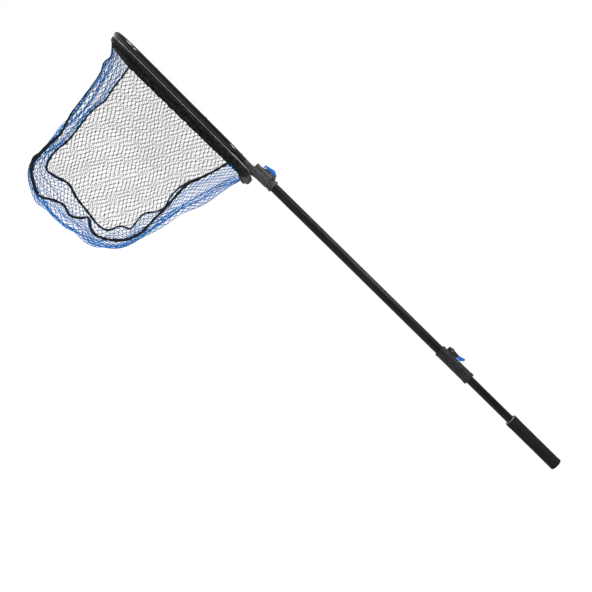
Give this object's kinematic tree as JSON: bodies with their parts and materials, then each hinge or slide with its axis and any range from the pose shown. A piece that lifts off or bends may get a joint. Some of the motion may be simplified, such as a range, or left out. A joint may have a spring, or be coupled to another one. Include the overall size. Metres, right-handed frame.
{
  "type": "landing net",
  "caption": "Telescoping landing net: tapered hoop with a deep mesh bag on a yoke that slides along an eight-sided handle, with a lever lock and a long grip.",
  "frame": {"origin": "middle of the hand grip, on the axis of the handle", "axes": "+X along the handle towards the butt, +Z towards the side with the button and the lever, the bag hangs towards -Z"},
  "size_m": [1.7038, 0.379, 0.5194],
  "materials": {
    "grip_foam": "fine-grained matt foam rubber",
    "grip_collar": "satin moulded ring with a bluish sheen",
    "black_rubber": "moulded rubber",
    "black_tube": "black anodised, drawn",
    "hoop_tube": "gloss black powder coat",
    "rim_rod": "plain rod",
    "black_plastic": "fine moulded grain",
    "yoke_plastic": "glass-filled nylon, fine moulded grain",
    "bush_plastic": "smooth acetal",
    "blue_plastic": "satin moulded",
    "steel": "plain",
    "sleeve_fabric": "black coated nylon, creased",
    "net_black": "black knotless netting",
    "net_blue": "royal blue knotless netting"
  },
  "bodies": {
    "handle": {"inner_tube": "black_tube", "inner_tube_glide": "black_plastic", "glide_pin": "steel", "grip_sleeve": "grip_foam", "grip_collar": "grip_collar", "butt_cap": "black_rubber"},
    "main_tube": {"main_tube": "black_tube", "front_end_cap": "black_plastic", "lock_housing": "black_plastic", "rear_bush": "bush_plastic", "lever_pivot_pin": "steel", "housing_side_pins": "steel", "housing_screws": "steel"},
    "lock_lever": {"lock_lever": "black_plastic", "lever_tip": "blue_plastic"},
    "clamp_shoe": {"clamp_shoe": "black_plastic", "shoe_pad": "black_rubber"},
    "head": {"yoke": "yoke_plastic", "yoke_front_bush": "bush_plastic", "yoke_rear_bush": "bush_plastic", "button_pivot_pin": "steel", "button_spring": "steel", "hoop_tube": "hoop_tube", "hoop_screws": "steel", "rim_rod": "rim_rod", "rim_screws": "steel", "net_sleeve": "sleeve_fabric", "net_side_near": "net_black", "net_side_far": "net_black", "net_gusset": "net_blue"},
    "yoke_button": {"yoke_button": "blue_plastic", "lock_pin": "steel"}
  },
  "joints": [
    {"name": "telescope_slide", "type": "slide", "parent": "handle", "child": "main_tube", "axis": [-1, 0, 0], "range_m": [-0.15, 0.52]},
    {"name": "head_slide", "type": "slide", "parent": "main_tube", "child": "head", "axis": [1, 0, 0], "range_m": [0, 0.48]},
    {"name": "lever_flip", "type": "hinge", "parent": "main_tube", "child": "lock_lever", "pos_m": [-0.345, 0, 0.0237], "axis": [0, -1, 0], "range_deg": [0, 110]},
    {"name": "shoe_lift", "type": "slide", "parent": "main_tube", "child": "clamp_shoe", "axis": [0, 0, 1], "range_m": [0, 0.0008]},
    {"name": "button_press", "type": "hinge", "parent": "head", "child": "yoke_button", "pos_m": [-1.05, 0, 0.0196], "axis": [0, 1, 0], "range_deg": [0, 8], "stiffness_Nm_per_rad": 0.4, "deforming": ["button_spring"]}
  ],
  "couplings": [
    {"joint": "lever_flip", "follows": "shoe_lift", "rad_per_m": 2399.8}
  ]
}
